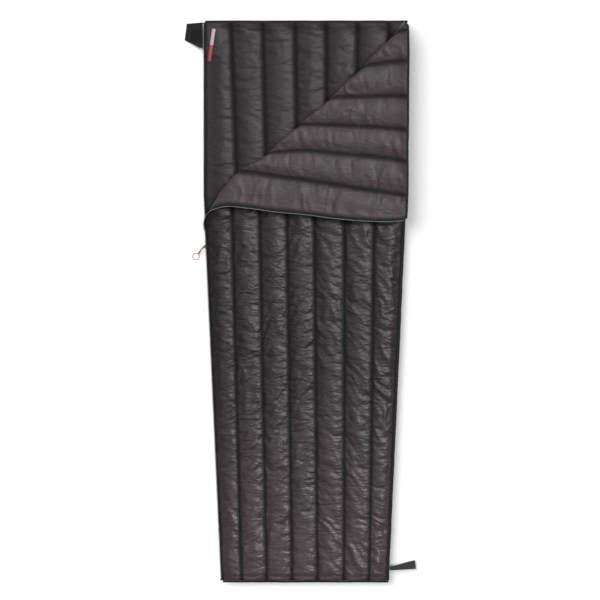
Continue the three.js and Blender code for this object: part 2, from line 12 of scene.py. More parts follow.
import bpy
import numpy as np
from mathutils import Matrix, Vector


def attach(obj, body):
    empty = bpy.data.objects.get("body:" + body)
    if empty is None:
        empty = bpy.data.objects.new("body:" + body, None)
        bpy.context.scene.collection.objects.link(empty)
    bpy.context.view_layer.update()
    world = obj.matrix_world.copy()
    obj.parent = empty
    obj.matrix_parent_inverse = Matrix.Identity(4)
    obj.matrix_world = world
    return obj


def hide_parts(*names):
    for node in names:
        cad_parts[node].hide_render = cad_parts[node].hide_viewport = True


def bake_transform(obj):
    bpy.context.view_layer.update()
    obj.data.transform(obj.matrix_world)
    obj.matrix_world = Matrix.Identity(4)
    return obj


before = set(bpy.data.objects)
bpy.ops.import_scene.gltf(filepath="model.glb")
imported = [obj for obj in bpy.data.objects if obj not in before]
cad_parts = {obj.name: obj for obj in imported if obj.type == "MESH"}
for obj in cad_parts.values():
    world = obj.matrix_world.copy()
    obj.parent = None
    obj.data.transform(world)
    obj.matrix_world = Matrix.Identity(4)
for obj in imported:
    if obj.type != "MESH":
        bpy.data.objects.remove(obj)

LOG = logging.getLogger("camp_quilt")
MM = 0.001
CHANNELS = 7
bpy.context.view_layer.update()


class Layer(Enum):
    """One of the two quilted layers."""

    UNDER = "under"
    TOP = "top"


# ---------------------------------------------------------------- the quilt's plan


@dataclass(frozen=True)
class Plan:
    """The outline and the channels of the closed quilt, in millimetres."""

    head_y: float = 1025.0
    foot_y: float = -1025.0
    shoulder_y: float = 390.0
    head_half: float = 371.0
    foot_half: float = 306.0
    trim: float = 7.3  # from the outline to the cloth, on every side
    loft: float = 30.0
    seam_depth: float = 15.0
    edge_crown: float = 20.0
    seam_thickness: float = 1.9
    under_face: float = 30.0
    top_face: float = 31.3
    zip_z: float = 30.65
    under_seams_head: tuple[float, ...] = (-270, -152, -35, 79, 194, 309)
    under_seams_middle: tuple[float, ...] = (-246, -140, -25, 83, 190, 303)
    under_middle_y: float = 460.0
    shoulder_shares: tuple[float, ...] = (1, 1, 1, 1, 1.1, 1.1, 1.1)
    head_shares: tuple[float, ...] = (5, 6, 6, 6, 6, 6, 2.5)
    foot_shares: tuple[float, ...] = (0.75, 1, 1, 1, 1.05, 1, 0.7)

    @property
    def cloth_ends(self) -> tuple[float, float]:
        """Where the cloth ends at the foot and at the head."""
        return self.foot_y + self.trim, self.head_y - self.trim

    def half(self, y: np.ndarray) -> np.ndarray:
        """Half the width of the cloth at y."""
        along = np.clip((y - self.foot_y) / (self.shoulder_y - self.foot_y), None, 1)
        return self.foot_half + (self.head_half - self.foot_half) * along - self.trim

    def seams(self, layer: Layer, y: np.ndarray) -> np.ndarray:
        """The x of every channel seam and both edges at each y.

        Args:
            layer: the layer whose seams they are.
            y: places along the quilt.

        Returns:
            One row of eight x values for each y.
        """
        y = np.atleast_1d(np.asarray(y, float))
        half = self.half(y)[:, None]

        def places(shares: Sequence[float]) -> np.ndarray:
            """Both edges and the seams between them, for the channels' shares of the width."""
            ends = np.concatenate([[0], np.cumsum(shares)]) / sum(shares)
            return -half + 2 * half * ends

        head_end = (y - self.shoulder_y) / (self.head_y - self.shoulder_y)
        foot_end = (y - self.foot_y) / (self.shoulder_y - self.foot_y)
        if layer is Layer.TOP:
            upper = mix(places(self.shoulder_shares), places(self.head_shares), head_end[:, None])
            lower = mix(places(self.foot_shares), places(self.shoulder_shares), foot_end[:, None])
            return np.where(y[:, None] > self.shoulder_y, upper, lower)
        inner = np.array([self.under_seams_middle, self.under_seams_head], float)
        head_part = (y - self.under_middle_y) / (self.head_y - self.under_middle_y)
        foot_part = np.clip((y - self.foot_y) / (self.under_middle_y - self.foot_y), 0, 1)
        upper = mix(inner[0][None, :], inner[1][None, :], head_part[:, None])
        lower = mix(places(self.foot_shares)[:, 1:-1], inner[0][None, :], foot_part[:, None])
        middle = np.where(y[:, None] > self.under_middle_y, upper, lower)
        return np.hstack([-half, middle, half])

    def channel_at(self, layer: Layer, x: np.ndarray, y: np.ndarray) -> np.ndarray:
        """How many channels lie to the left of each point, with its share of the channel it is in.

        Args:
            layer: the layer that the channels are in.
            x: places across the quilt.
            y: places along it.

        Returns:
            One number for each place. It goes below 0 and past the last channel outside the cloth.
        """
        seams = self.seams(layer, y)
        found = np.zeros(len(x))
        for channel in range(CHANNELS):
            left, right = seams[:, channel], seams[:, channel + 1]
            share = (x - left) / (right - left)
            inside = share >= 0 if channel else np.ones(len(x), bool)
            furthest = 1.0 if channel < CHANNELS - 1 else 2.0
            found = np.where(inside, channel + np.minimum(share, furthest), found)
        return found


PLAN = Plan()


def mix(first: np.ndarray, second: np.ndarray, share: np.ndarray) -> np.ndarray:
    """A blend from first, at a share of 0, to second, at 1."""
    return first + (second - first) * share


def smooth(value: np.ndarray) -> np.ndarray:
    """Eases values from 0 to 1, and holds them there beyond."""
    clipped = np.clip(value, 0, 1)
    return clipped * clipped * (3 - 2 * clipped)


def eased(x: np.ndarray, places: Sequence[float], values: Sequence[float]) -> np.ndarray:
    """A smooth curve through values at places, held level beyond the ends.

    Args:
        x: where the curve is wanted.
        places: where it is given, in rising order.
        values: what it is there.

    Returns:
        Its value at each x.
    """
    at, value = np.array(places, float), np.array(values, float)
    slope = np.gradient(value, at)
    x = np.clip(x, at[0], at[-1])
    i = np.clip(np.searchsorted(at, x) - 1, 0, len(at) - 2)
    span = at[i + 1] - at[i]
    t = (x - at[i]) / span
    rise = smooth(t)
    bend = span * (slope[i] * t * (1 - t) ** 2 - slope[i + 1] * t * t * (1 - t))
    return mix(value[i], value[i + 1], rise) + bend


class Ripple:
    """Smooth seeded noise over a plane, from -1 to 1."""

    def __init__(self, seed: int) -> None:
        """Fills the lattice from the seed."""
        self.lattice = np.random.default_rng(seed).uniform(-1, 1, (256, 256))

    def at(self, across: np.ndarray, along: np.ndarray) -> np.ndarray:
        """The noise.

        Args:
            across: places across the lattice, in cells.
            along: places along it.

        Returns:
            Its value at each place, from -1 to 1.
        """
        column, row = np.floor(across).astype(int), np.floor(along).astype(int)
        a, b = smooth(across - column), smooth(along - row)

        def corner(right: int, up: int) -> np.ndarray:
            """The lattice's value at one corner of each place's cell."""
            return self.lattice[(column + right) & 255, (row + up) & 255]

        return mix(mix(corner(0, 0), corner(1, 0), a), mix(corner(0, 1), corner(1, 1), a), b)

    def ridges(self, across: np.ndarray, along: np.ndarray) -> np.ndarray:
        """Sharp crests, from 0 to 1, where the noise crosses zero."""
        return 1 - np.abs(self.at(across, along)) ** 0.7


@dataclass(frozen=True)
class CornerFold:
    """Carries points of the closed top layer to where they lie with its corner folded back.

    The fold runs from the right end of the head edge, down to the left, at 45 degrees. The cloth turns
    over in a round nose, and the loose corner drifts towards the head, as a soft corner does when
    it's thrown open. Millimetres.
    """

    offset: float = 654.0  # the fold line is y = x + offset
    height: float = 61.6
    half_turn: float = 30.0  # cloth each side of the line that makes the nose
    pull_places: tuple[float, ...] = (-371, -335, -290, -248, -207, -134, -72, 345)
    pull_back: tuple[float, ...] = (30, 22, 12, 8, 18, 25, 30, 30)
    drift_places: tuple[float, ...] = (-371, -288, -204, -100, 0, 116, 226, 314, 371)
    drift_of_seam: tuple[tuple[float, ...], ...] = (
        (27, 57, 52, 38, 29, 14, 5.5, 4, 9),
        (40, 80, 79, 64, 51, 33, 16, 3, -7),
        (30, 45, 45, 47, 51, 38, 26, 13, -1),
        (25, 38, 39, 39, 39, 30, 19, 9, -2),
        (15, 20, 20, 20, 20, 22, 16, 12, 4),
        (5, 8, 8, 8, 9, 10, 15, 19, 19),
        (5, 8, 8, 8, 9, 10, 12, 14, 14),
        (2, 4, 4, 4, 4, 5, 6, 6, 6),
    )
    side_places: tuple[float, ...] = (260, 330, 560, 760, 970, 1015)
    side_bulge: tuple[float, ...] = (-3, 2, 5, 7, 7, 5)
    side_from: float = 120.0  # the x where the side starts to bulge
    side_ease: float = 250.0

    def drift(self, channel: np.ndarray, x: np.ndarray) -> np.ndarray:
        """How far the loose corner lies towards the head of where a plain fold would lay it.

        Args:
            channel: each point's channel.
            x: where each point lies across the quilt.

        Returns:
            Millimetres along the quilt.
        """
        table = np.array([eased(x, self.drift_places, row) for row in self.drift_of_seam])
        place = np.clip(channel, 0, CHANNELS - 0.001)
        low = np.floor(place).astype(int)
        share = place - low
        columns = np.arange(len(x))
        return mix(table[low, columns], table[low + 1, columns], share)

    def lay(self, points: np.ndarray) -> np.ndarray:
        """Folds points given as the closed quilt has them.

        Args:
            points: rows of x, y, z in millimetres.

        Returns:
            The same points with the corner folded back.
        """
        x, y, z = points.T
        channel = PLAN.channel_at(Layer.TOP, x, y)
        root = math.sqrt(0.5)
        along = (x + y - self.offset) * root
        beyond = (y - self.offset - x) * root
        drop = self.height - z
        turn = np.clip((beyond + self.half_turn) / (2 * self.half_turn), 0, 1) * math.pi
        pull = eased(along * root, self.pull_places, self.pull_back)
        nose = (drop - pull) * np.sin(turn) - self.half_turn * (1 - np.sin(turn))
        laid = np.where(turn <= 0, beyond, np.where(turn >= math.pi, -beyond, nose))
        new_x = (along - laid) * root
        new_y = self.offset + (along + laid) * root
        over = smooth((turn - math.pi / 3) / (2 * math.pi / 3))
        new_y = new_y + over * self.drift(channel, new_x)
        right = smooth((new_x - self.side_from) / self.side_ease)
        new_x = new_x + over * right * eased(new_y, self.side_places, self.side_bulge)
        return np.stack([new_x, new_y, self.height - drop * np.cos(turn)], axis=1)


FOLD = CornerFold()


@dataclass(frozen=True)
class OpenEdge:
    """Lets the under layer's open zip edge hang down between the slider and the tab. Millimetres."""

    share: float = 0.4  # of its height, lost at the very edge
    reach: float = 80.0  # inwards from the edge of the cloth
    start_y: float = 225.0
    start_ease: float = 90.0
    end_y: float = 925.0
    end_ease: float = 70.0

    def lay(self, points: np.ndarray) -> np.ndarray:
        """Lowers points given as the level quilt has them."""
        x, y, z = points.T
        near_edge = smooth(1 - (x + PLAN.half(y)) / self.reach)
        stretch = smooth((y - self.start_y) / self.start_ease) * smooth((self.end_y - y) / self.end_ease)
        return np.stack([x, y, z * (1 - self.share * near_edge * stretch)], axis=1)


SAG = OpenEdge()


# ---------------------------------------------------------------- shader maths and finishes


Number = Union[float, int]


class Tone:
    """A number that comes out of a node, which takes part in sums."""

    def __init__(self, shader: "Shader", socket: bpy.types.NodeSocket) -> None:
        """Keeps the socket and the shader it belongs to."""
        self.shader = shader
        self.socket = socket

    def _sum(self, operation: str, first: Union["Tone", Number], second: Union["Tone", Number]) -> "Tone":
        """Adds one Math node for an operation on two values."""
        return self.shader.add("ShaderNodeMath", {"operation": operation}, {0: first, 1: second})

    def __add__(self, other: Union["Tone", Number]) -> "Tone":
        """self + other."""
        return self._sum("ADD", self, other)

    def __sub__(self, other: Union["Tone", Number]) -> "Tone":
        """self - other."""
        return self._sum("SUBTRACT", self, other)

    def __rsub__(self, other: Union["Tone", Number]) -> "Tone":
        """other - self."""
        return self._sum("SUBTRACT", other, self)

    def __mul__(self, other: Union["Tone", Number]) -> "Tone":
        """self * other."""
        return self._sum("MULTIPLY", self, other)

    def __pow__(self, other: Union["Tone", Number]) -> "Tone":
        """self ** other."""
        return self._sum("POWER", self, other)

    def __abs__(self) -> "Tone":
        """abs(self)."""
        return self._sum("ABSOLUTE", self, 0)

    def above(self, level: Number) -> "Tone":
        """1 where the value is above the level, and 0 elsewhere."""
        return self._sum("GREATER_THAN", self, level)

    def fraction(self) -> "Tone":
        """What is left of the value after its whole part."""
        return self._sum("FRACT", self, 0)

    def kept(self) -> "Tone":
        """The value kept between 0 and 1."""
        return self.shader.add("ShaderNodeClamp", {}, {"Value": self})

    __radd__ = __add__
    __rmul__ = __mul__


class Shader:
    """One material's nodes."""

    def __init__(self, name: str) -> None:
        """Makes the material with its shader node."""
        self.material = bpy.data.materials.new(name)
        self.material.use_nodes = True
        self.tree = self.material.node_tree
        self.surface = self.tree.nodes["Principled BSDF"]

    def plug(self, node: bpy.types.Node, inputs: dict) -> None:
        """Sets or links a node's sockets.

        Args:
            node: the node.
            inputs: values or links by the sockets' names or numbers.
        """
        for key, value in inputs.items():
            if isinstance(value, Tone):
                self.tree.links.new(value.socket, node.inputs[key])
            elif isinstance(value, bpy.types.NodeSocket):
                self.tree.links.new(value, node.inputs[key])
            else:
                node.inputs[key].default_value = value

    def add(self, kind: str, settings: Optional[dict] = None, inputs: Optional[dict] = None,
            output: Union[int, str] = 0) -> Tone:
        """Adds one node of any type.

        Args:
            kind: the node's type.
            settings: its settings, set first; "stops" are a ramp's places and colours.
            inputs: the values or links of its sockets, by name or number.
            output: the socket to hand back.

        Returns:
            The chosen output.
        """
        node = self.tree.nodes.new(kind)
        for key, value in (settings or {}).items():
            if key == "stops":
                for i, (place, colour) in enumerate(value):
                    element = node.color_ramp.elements[i] if i < 2 else node.color_ramp.elements.new(place)
                    element.position, element.color = place, (*colour, 1)
            else:
                setattr(node, key, value)
        self.plug(node, inputs or {})
        return Tone(self, node.outputs[output])

    def place(self, stretch: Sequence[float] = (1, 1, 1), turn: float = 0.0) -> Tone:
        """Object coordinates, turned about Z and stretched."""
        coords = self.add("ShaderNodeTexCoord", output="Object")
        return self.add("ShaderNodeMapping", {}, {"Vector": coords, "Scale": stretch,
                                                  "Rotation": (0, 0, math.radians(turn))})

    def noise(self, where: Tone, scale: float, detail: float = 2.0, distortion: float = 0.0,
              roughness: float = 0.5) -> Tone:
        """Noise from 0 to 1 at a number of cells to the metre."""
        return self.add("ShaderNodeTexNoise", {}, {"Vector": where, "Scale": scale, "Detail": detail,
                                                   "Distortion": distortion, "Roughness": roughness})

    def creases(self, where: Tone, scale: float, distortion: float = 0.0) -> Tone:
        """Thin raised lines where noise crosses its middle."""
        return (1 - abs(self.noise(where, scale, 1.5, distortion) * 2 - 1)) ** 3

    def weave(self, pitch: float, turn: float = 0.0) -> Tone:
        """A plain weave.

        Args:
            pitch: metres between its threads.
            turn: degrees about Z.

        Returns:
            Its height, from 0 to 1.
        """
        where = self.place(turn=turn)
        bands = [self.add("ShaderNodeTexWave", {"bands_direction": axis},
                          {"Vector": where, "Scale": math.pi / 10 / pitch}, "Fac") for axis in "XY"]
        return bands[0] * bands[1]

    def mapped(self, name: str) -> tuple[Tone, Tone]:
        """The two coordinates of the piece's own map, by the map's name."""
        coords = self.add("ShaderNodeUVMap", {"uv_map": name})
        split = self.add("ShaderNodeSeparateXYZ", {}, {0: coords}, "X")
        return split, Tone(self, split.socket.node.outputs["Y"])

    def mix(self, mask: Union[Tone, Number], first: Union[Tone, Sequence[float]],
            second: Union[Tone, Sequence[float]]) -> Tone:
        """A colour between two.

        Args:
            mask: 0 for the first colour, 1 for the second.
            first: a colour.
            second: a colour.

        Returns:
            The mixed colour.
        """
        inputs = {0: mask, 6: first if isinstance(first, Tone) else (*first, 1),
                  7: second if isinstance(second, Tone) else (*second, 1)}
        return self.add("ShaderNodeMix", {"data_type": "RGBA"}, inputs, 2)

    def bump(self, height: Tone, distance: float, strength: float = 1.0,
             under: Optional[Tone] = None) -> Tone:
        """Relief.

        Args:
            height: from 0 to 1.
            distance: what a height of 1 is, in metres.
            strength: how much of it shows.
            under: another relief that it lies on.

        Returns:
            The normal.
        """
        inputs = {"Height": height, "Distance": distance, "Strength": strength}
        if under is not None:
            inputs["Normal"] = under
        return self.add("ShaderNodeBump", {}, inputs)

    def dress(self, **sockets: Union[Tone, Number, Sequence[float]]) -> bpy.types.Material:
        """Sets the surface's sockets, with their names in lower case and underscores."""
        self.plug(self.surface, {key.replace("_", " ").title(): value for key, value in sockets.items()})
        return self.material


def srgb(red: int, green: int, blue: int) -> tuple[float, float, float]:
    """A colour from its display values, from 0 to 255."""
    return tuple((c / 255 / 12.92) if c <= 10 else ((c / 255 + 0.055) / 1.055) ** 2.4
                 for c in (red, green, blue))


@dataclass(frozen=True)
class DownproofCloth:
    """Fine, downproof nylon: glossy outside, softer inside."""

    name: str
    colour: tuple[float, float, float]
    worn: tuple[float, float, float]
    roughness: float
    crease_depth: float  # metres
    crease_scale: float  # cells to the metre
    specular: float
    painted_foot_light_strength: float  # painted light: how much paler it is painted towards the foot, where it is also made glossier
    painted_seam_shade_strength: float  # painted shade: how dark the seams and the outer edges are painted
    pale: float = 2.6  # times the worn colour, where the painted light makes the cloth palest, at the foot
    stitches: float = 820.0  # to the metre

    def material(self) -> bpy.types.Material:
        """Its colour, weave, creases and sewn seams, with painted shade along the seams and edges and painted
        light towards the foot.
        """
        shader = Shader(self.name)
        across = shader.place((0.5, 1.4, 1))
        slant = shader.place((0.6, 1.3, 1), 33)
        broad = shader.noise(shader.place(), 7, 3)
        fold = (shader.creases(across, self.crease_scale, 0.5)
                + shader.creases(slant, self.crease_scale * 1.5, 0.5))
        channel, along = shader.mapped("quilting")
        off_seam = abs((channel * CHANNELS + 0.5).fraction() - 0.5)
        stitched = (1 - off_seam.above(0.006)) * (along * self.stitches).fraction().above(0.35)
        # Painted shade: a mask that is 1 at every seam and at the outer edges, where shade falls; it also
        # roughens the cloth there.
        painted_seam_shade_mask = (1.15 - off_seam * 7.5).kept()
        # Painted light: a mask that grows towards the foot, where the cloth is painted paler as if lit more;
        # it also lowers the roughness there.
        painted_foot_light_mask = (1.2 - along * 1.5).kept() * self.painted_foot_light_strength
        tint = shader.mix(broad, self.colour, self.worn)
        # Painted light pales the colour towards the foot.
        tint = shader.mix(painted_foot_light_mask * 0.8, tint, [c * self.pale for c in self.worn])
        # Painted shade darkens the colour along the seams and the outer edges.
        tint = shader.mix(painted_seam_shade_mask * self.painted_seam_shade_strength, tint, [c * 0.06 for c in self.colour])
        tint = shader.mix(stitched * 0.5, tint, [c * 1.6 for c in self.colour])
        relief = shader.bump(shader.weave(0.0009), 0.00012, 0.35)
        relief = shader.bump(fold, self.crease_depth, 1, relief)
        relief = shader.bump(stitched, 0.0006, 1, relief)
        gloss = broad * 0.14 + painted_seam_shade_mask * 0.4 - painted_foot_light_mask * 0.07 + (self.roughness - 0.07)
        shader.surface.inputs["Specular IOR Level"].default_value = self.specular
        return shader.dress(base_color=tint, roughness=gloss, normal=relief)


@dataclass(frozen=True)
class WovenTrim:
    """Tape, binding and webbing: a coarse dark weave."""

    name: str
    colour: tuple[float, float, float]
    pitch: float
    depth: float
    roughness: float = 0.75

    def material(self) -> bpy.types.Material:
        """Its weave, with lighter worn crowns."""
        shader = Shader(self.name)
        threads = shader.weave(self.pitch, 45)
        patches = shader.noise(shader.place(), 60, 3)
        tint = shader.mix(threads * 0.6 + patches * 0.4, [c * 0.5 for c in self.colour],
                          [c * 1.7 for c in self.colour])
        relief = shader.bump(threads, self.depth)
        relief = shader.bump(patches, 0.0008, 0.5, relief)
        return shader.dress(base_color=tint, roughness=patches * 0.15 + self.roughness - 0.07,
                            normal=relief, sheen_weight=0.08, sheen_roughness=0.5)


@dataclass(frozen=True)
class MouldedPart:
    """Moulded plastic or painted metal."""

    name: str
    colour: tuple[float, float, float]
    roughness: float
    metallic: float = 0.0

    def material(self) -> bpy.types.Material:
        """Its fine grain, with rubbed patches."""
        shader = Shader(self.name)
        grain = shader.noise(shader.place(), 2600, 2)
        rubbed = shader.noise(shader.place(), 240, 3)
        tint = shader.mix(rubbed, [c * 0.75 for c in self.colour], [c * 1.3 for c in self.colour])
        return shader.dress(base_color=tint, roughness=rubbed * 0.2 + self.roughness - 0.1,
                            metallic=self.metallic, normal=shader.bump(grain, 0.00008, 0.6))


@dataclass(frozen=True)
class BraidedCord:
    """A braided sheath, drawn along the cord's own map."""

    name: str
    colour: tuple[float, float, float]
    strands: float = 5.0
    pitch: float = 0.0035

    def material(self) -> bpy.types.Material:
        """Two sets of strands that wind round the cord against each other."""
        shader = Shader(self.name)
        round_it, along = shader.mapped("braid")
        one = abs((round_it * self.strands + along * (1 / self.pitch)).fraction() * 2 - 1)
        other = abs((round_it * self.strands - along * (1 / self.pitch)).fraction() * 2 - 1)
        braid = one * other
        tint = shader.mix(braid, [c * 0.62 for c in self.colour], [min(1, c * 1.25) for c in self.colour])
        return shader.dress(base_color=tint, roughness=0.62, normal=shader.bump(braid, 0.0003),
                            sheen_weight=0.2)


@dataclass(frozen=True)
class HookTape:
    """Hook tape: rows of tiny stiff hooks."""

    name: str
    colour: tuple[float, float, float]

    def material(self) -> bpy.types.Material:
        """Its rows of hooks as relief."""
        shader = Shader(self.name)
        dots = shader.add("ShaderNodeTexVoronoi", {}, {"Vector": shader.place(), "Scale": 700.0}, "Distance")
        tint = shader.mix(dots, [c * 1.8 for c in self.colour], [c * 0.5 for c in self.colour])
        return shader.dress(base_color=tint, roughness=0.85, normal=shader.bump(1 - dots, 0.0007))


@dataclass(frozen=True)
class TwoToneLabel:
    """A satin label, pale at one end and red at the other."""

    name: str
    pale: tuple[float, float, float]
    red: tuple[float, float, float]
    red_share: float

    def material(self) -> bpy.types.Material:
        """Its two colours with a satin weave."""
        shader = Shader(self.name)
        _, along = shader.mapped("label")
        threads = shader.weave(0.0006)
        tint = shader.mix(along.above(self.red_share), self.red, self.pale)
        tint = shader.mix(threads * 0.25, tint, (0.9, 0.85, 0.86))
        return shader.dress(base_color=tint, roughness=0.5, normal=shader.bump(threads, 0.0001, 0.5))


# The two linings are one cloth in lit and shaded copies: the flap's lining is painted paler as painted light,
# the under layer's darker as painted shade in its recess. In each cloth the last two numbers set the painted
# light towards the foot and the painted shade at the seams.
SHELL = DownproofCloth("shell_cloth", srgb(37, 34, 36), srgb(46, 39, 42), 0.38, 0.0009, 24, 0.34, 1, 0.92)
LINING = DownproofCloth("lining_cloth", srgb(45, 39, 42), srgb(50, 43, 46), 0.48, 0.0007, 18, 0.3, 0, 0.75)
LIT_FLAP_LINING = DownproofCloth("flap_lining_cloth_painted_light", srgb(60, 52, 56), srgb(67, 58, 62), 0.47, 0.0007, 18,
                             0.38, 0, 0.8)
BINDING = WovenTrim("edge_binding", srgb(24, 26, 25), 0.0011, 0.0004)
TAPE = WovenTrim("zip_tape_weave", srgb(13, 14, 14), 0.0009, 0.0003)
WEBBING = WovenTrim("webbing", srgb(52, 54, 55), 0.0016, 0.0006)
TAB_CLOTH = WovenTrim("tab_cloth", srgb(9, 9, 10), 0.0012, 0.0004)
COIL = MouldedPart("zip_coil_nylon", srgb(168, 164, 168), 0.4)
DARK_COIL = MouldedPart("dark_coil_nylon", srgb(40, 41, 42), 0.45)
METAL = MouldedPart("painted_zip_metal", srgb(62, 62, 66), 0.38, 0.8)
CORD = BraidedCord("orange_braid", srgb(226, 92, 36))
PULLER = MouldedPart("orange_puller", srgb(206, 84, 40), 0.5)
HOOK = HookTape("hook_tape", srgb(5, 5, 6))
LABEL = TwoToneLabel("label_satin", srgb(190, 165, 178), srgb(158, 26, 38), 0.5)


# ---------------------------------------------------------------- working on pieces


def select_only(piece: bpy.types.Object) -> None:
    """Selects one object and makes it the active one."""
    bpy.ops.object.select_all(action="DESELECT")
    piece.select_set(True)
    bpy.context.view_layer.objects.active = piece


def new_piece(name: str, points: np.ndarray, faces: Sequence[Sequence[int]]) -> bpy.types.Object:
    """Makes an object.

    Args:
        name: of the object and its mesh.
        points: rows of x, y, z in millimetres.
        faces: the points' numbers round each face.

    Returns:
        The object, in the scene.
    """
    mesh = bpy.data.meshes.new(name)
    mesh.from_pydata((points * MM).tolist(), [], [list(map(int, face)) for face in faces])
    mesh.update()
    piece = bpy.data.objects.new(name, mesh)
    bpy.context.scene.collection.objects.link(piece)
    return piece


def read(piece: bpy.types.Object, what: str) -> np.ndarray:
    """One row of three numbers for each vertex: its "co", in metres, or its "normal"."""
    flat = np.zeros(len(piece.data.vertices) * 3, np.float32)
    piece.data.vertices.foreach_get(what, flat)
    return flat.reshape(-1, 3)


def points_of(piece: bpy.types.Object) -> np.ndarray:
    """The piece's points in millimetres."""
    return read(piece, "co").astype(float) / MM


def move_points(piece: bpy.types.Object, points: np.ndarray) -> None:
    """Moves the piece's points to new places in millimetres."""
    piece.data.vertices.foreach_set("co", (points * MM).astype(np.float32).ravel())
    piece.data.update()


def finish_with(piece: bpy.types.Object, kind: str, **settings: object) -> None:
    """Adds a modifier and applies it.

    Args:
        piece: the object.
        kind: the modifier's type.
        **settings: what to set on it.
    """
    select_only(piece)
    modifier = piece.modifiers.new(kind.lower(), kind)
    for key, value in settings.items():
        setattr(modifier, key, value)
    bpy.ops.object.modifier_apply(modifier=modifier.name)


def dress(piece: bpy.types.Object, materials: Sequence[bpy.types.Material]) -> None:
    """Gives a piece its materials and smooth faces.

    Args:
        piece: the object.
        materials: in the order of its faces' material numbers.
    """
    for material in materials:
        piece.data.materials.append(material)
    piece.data.shade_smooth()


def hang(piece: bpy.types.Object, replaced: Sequence[str], body: Optional[str]) -> None:
    """Puts a finished piece in place of CAD nodes, and logs it.

    Args:
        piece: the finished piece.
        replaced: the names of the nodes that it takes the place of.
        body: the body it rides on, or None for cloth that goes on from the quilt over the fold.
    """
    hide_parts(*replaced)
    if body:
        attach(piece, body)
    else:
        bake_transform(piece)
    LOG.info("%s: %d faces", piece.name, len(piece.data.polygons))


# ---------------------------------------------------------------- quilted layers


@dataclass(frozen=True)
class DownFill:
    """Blows a closed quilted shell up with the Cloth simulation while its seams stay sewn."""

    frames: int = 18
    pressure: float = 4.0
    growth: float = 0.05
    mass: float = 0.3
    quality: int = 5
    stiffness: float = 15.0
    bending: float = 0.5

    def blow_up(self, piece: bpy.types.Object, sewn: Sequence[int]) -> None:
        """Runs the simulation and applies it to the mesh.

        Args:
            piece: the closed shell.
            sewn: the points that stay where they are.
        """
        group = piece.vertex_groups.new(name="sewn")
        group.add([int(i) for i in sewn], 1.0, "REPLACE")
        select_only(piece)
        modifier = piece.modifiers.new("down", "CLOTH")
        cloth = modifier.settings
        cloth.vertex_group_mass = "sewn"
        cloth.mass, cloth.quality = self.mass, self.quality
        cloth.tension_stiffness = cloth.compression_stiffness = self.stiffness
        cloth.bending_stiffness = self.bending
        cloth.shrink_min = -self.growth
        cloth.use_pressure, cloth.uniform_pressure_force = True, self.pressure
        cloth.effector_weights.gravity = 0
        modifier.collision_settings.use_collision = False
        modifier.collision_settings.use_self_collision = False
        modifier.point_cache.frame_start, modifier.point_cache.frame_end = 1, self.frames
        for step in range(1, self.frames + 1):
            bpy.context.scene.frame_set(step)
        bpy.ops.object.modifier_apply(modifier=modifier.name)
        piece.vertex_groups.remove(piece.vertex_groups["sewn"])
        bpy.context.scene.frame_set(1)


